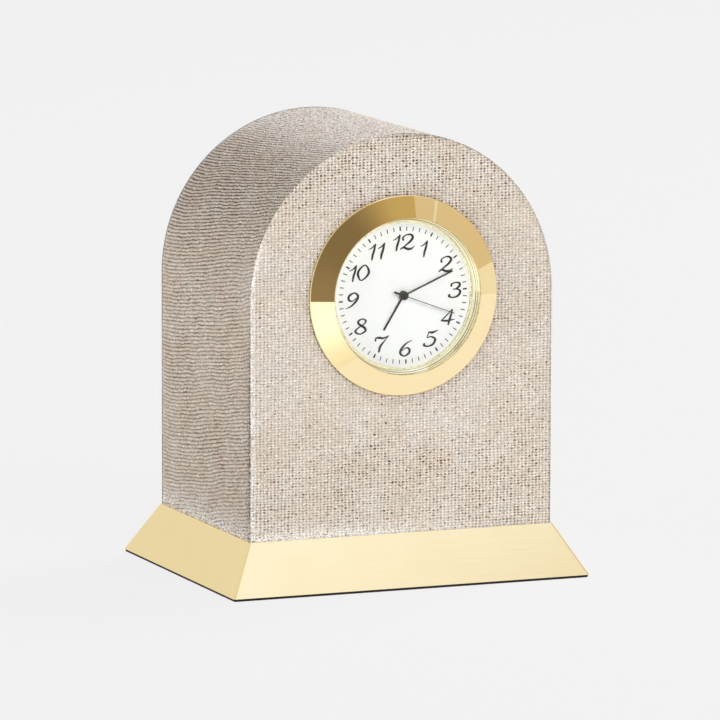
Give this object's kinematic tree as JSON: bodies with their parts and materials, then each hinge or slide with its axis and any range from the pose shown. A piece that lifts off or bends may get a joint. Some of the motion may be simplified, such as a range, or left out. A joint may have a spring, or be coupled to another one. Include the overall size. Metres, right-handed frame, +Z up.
{
  "type": "beehive shelf clock",
  "caption": "Shelf clock with a round-topped cloth-covered arch on a flared metal plinth and a round push-fit quartz insert.",
  "frame": {"origin": "middle of the underside, on the surface that the clock stands on", "axes": "+Z up, the dial faces -Y, +X to the right of someone who looks at the dial"},
  "size_m": [0.0696, 0.057, 0.0824],
  "materials": {
    "core_wood": "matte",
    "front_cloth": "matte",
    "side_cloth": "matte",
    "back_cloth": "matte",
    "plinth_gold": "satin",
    "filler_wood": "matte",
    "screw_steel": "satin",
    "felt": "matte",
    "bezel_gold": "polished",
    "lens_glass": "polished",
    "ring_gold": "polished",
    "dial_white": "matte",
    "case_metal": "satin",
    "sleeve_rubber": "matte",
    "holder_plastic": "matte",
    "plate_brass": "satin",
    "iron": "satin",
    "copper_wire": "satin",
    "board_green": "satin",
    "can_steel": "polished",
    "hand_black": "satin",
    "wheel_brass": "satin",
    "magnet_black": "satin",
    "blued_steel": "satin"
  },
  "bodies": {
    "case": {"arch_block": "core_wood", "front_cover": "front_cloth", "back_cover": "back_cloth", "side_band": "side_cloth", "plinth_shell": "plinth_gold", "plinth_filler": "filler_wood", "plinth_screws": "screw_steel", "base_pad": "felt"},
    "insert": {"bezel": "bezel_gold", "lens": "lens_glass", "dial_ring": "ring_gold", "dial": "dial_white", "insert_case": "case_metal", "grip_sleeve": "sleeve_rubber", "movement_holder": "holder_plastic", "main_plate": "plate_brass", "train_bridge": "plate_brass", "stator": "iron", "coil_core": "iron", "coil_winding": "copper_wire", "circuit_board": "board_green", "quartz_crystal": "can_steel", "battery": "can_steel", "battery_clip": "blued_steel", "movement_screws": "screw_steel"},
    "snap_back": {"case_back": "case_metal"},
    "rotor_arbor": {"rotor": "magnet_black"},
    "fifth_arbor": {"fifth_wheel": "wheel_brass"},
    "seconds_arbor": {"second_wheel": "wheel_brass", "second_hand": "hand_black"},
    "third_arbor": {"third_wheel": "wheel_brass"},
    "centre_pipe": {"centre_wheel": "wheel_brass"},
    "minute_pipe": {"cannon_pinion": "wheel_brass", "minute_hand": "hand_black"},
    "minute_idler": {"minute_wheel": "wheel_brass"},
    "hour_pipe": {"hour_wheel": "wheel_brass", "hour_hand": "hand_black"},
    "setting_idler": {"setting_wheel": "wheel_brass"},
    "sliding_clutch": {"clutch": "blued_steel"},
    "stem": {"winding_stem": "blued_steel", "crown": "plate_brass"},
    "lever": {"setting_lever": "blued_steel"}
  },
  "joints": [
    {"name": "insert_pull", "type": "slide", "parent": "case", "child": "insert", "axis": [0, -1, 0], "range_m": [0, 0.012]},
    {"name": "case_back_pull", "type": "slide", "parent": "insert", "child": "snap_back", "axis": [0, 1, 0], "range_m": [0, 0.003]},
    {"name": "second_turn", "type": "hinge", "parent": "insert", "child": "seconds_arbor", "pos_m": [0, -0.023, 0.05305], "axis": [0, 1, 0], "continuous": true},
    {"name": "third_turn", "type": "hinge", "parent": "insert", "child": "third_arbor", "pos_m": [-0.00238, -0.023, 0.05151], "axis": [0, 1, 0], "continuous": true},
    {"name": "centre_turn", "type": "hinge", "parent": "insert", "child": "centre_pipe", "pos_m": [0, -0.023, 0.05305], "axis": [0, 1, 0], "continuous": true},
    {"name": "fifth_turn", "type": "hinge", "parent": "insert", "child": "fifth_arbor", "pos_m": [-0.00013, -0.023, 0.05581], "axis": [0, 1, 0], "continuous": true},
    {"name": "rotor_turn", "type": "hinge", "parent": "insert", "child": "rotor_arbor", "pos_m": [-0.00022, -0.023, 0.05759], "axis": [0, 1, 0], "continuous": true},
    {"name": "minute_turn", "type": "hinge", "parent": "insert", "child": "minute_pipe", "pos_m": [0, -0.023, 0.05305], "axis": [0, 1, 0], "continuous": true},
    {"name": "minute_wheel_turn", "type": "hinge", "parent": "insert", "child": "minute_idler", "pos_m": [0.00203, -0.023, 0.05177], "axis": [0, 1, 0], "continuous": true},
    {"name": "hour_turn", "type": "hinge", "parent": "insert", "child": "hour_pipe", "pos_m": [0, -0.023, 0.05305], "axis": [0, 1, 0], "continuous": true},
    {"name": "setting_wheel_turn", "type": "hinge", "parent": "insert", "child": "setting_idler", "pos_m": [0.00428, -0.023, 0.05326], "axis": [0, 1, 0], "continuous": true},
    {"name": "clutch_turn", "type": "hinge", "parent": "insert", "child": "sliding_clutch", "pos_m": [0, -0.02138, 0.05305], "axis": [0.9988, 0, 0.0488], "continuous": true},
    {"name": "stem_pull", "type": "slide", "parent": "sliding_clutch", "child": "stem", "axis": [0.9988, 0, 0.0488], "range_m": [0, 0.0008]},
    {"name": "lever_turn", "type": "hinge", "parent": "insert", "child": "lever", "pos_m": [0.00963, -0.023, 0.05072], "axis": [0, 1, 0], "range_deg": [0, 18.8]}
  ],
  "couplings": [
    {"joint": "third_turn", "follows": "second_turn", "ratio": -0.13333},
    {"joint": "centre_turn", "follows": "second_turn", "ratio": 0.016667},
    {"joint": "fifth_turn", "follows": "second_turn", "ratio": -5},
    {"joint": "rotor_turn", "follows": "second_turn", "ratio": 30},
    {"joint": "minute_wheel_turn", "follows": "minute_turn", "ratio": -0.33333},
    {"joint": "hour_turn", "follows": "minute_turn", "ratio": 0.083333},
    {"joint": "setting_wheel_turn", "follows": "minute_turn", "ratio": 0.66667},
    {"joint": "lever_turn", "follows": "stem_pull", "rad_per_m": 409.99}
  ]
}
